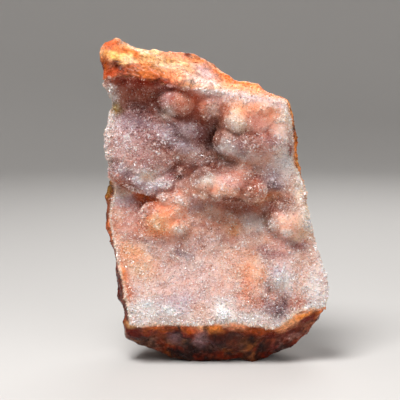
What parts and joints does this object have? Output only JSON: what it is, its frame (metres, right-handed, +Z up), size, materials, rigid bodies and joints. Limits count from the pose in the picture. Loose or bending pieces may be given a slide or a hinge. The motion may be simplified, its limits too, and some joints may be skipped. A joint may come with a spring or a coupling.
{
  "type": "mineral specimen",
  "caption": "Hand specimen of botryoidal chalcedony: a standing slab with a lumpy, druse-covered hollow face, orange and grey bands, and a flat broken foot.",
  "frame": {"origin": "centre of the bounding box, on the plane of the broken foot that it stands on", "axes": "+Z up, from the foot to the top ridge; the druse face looks along -Y and the weathered back along +Y"},
  "size_m": [0.074, 0.042, 0.1043],
  "materials": {
    "chalcedony": "orange, pink and grey-white chalcedony, sugared all over its face with fine glassy quartz points; waxy and dull where it is broken"
  },
  "bodies": {
    "root": {"chalcedony": "chalcedony"}
  },
  "joints": []
}
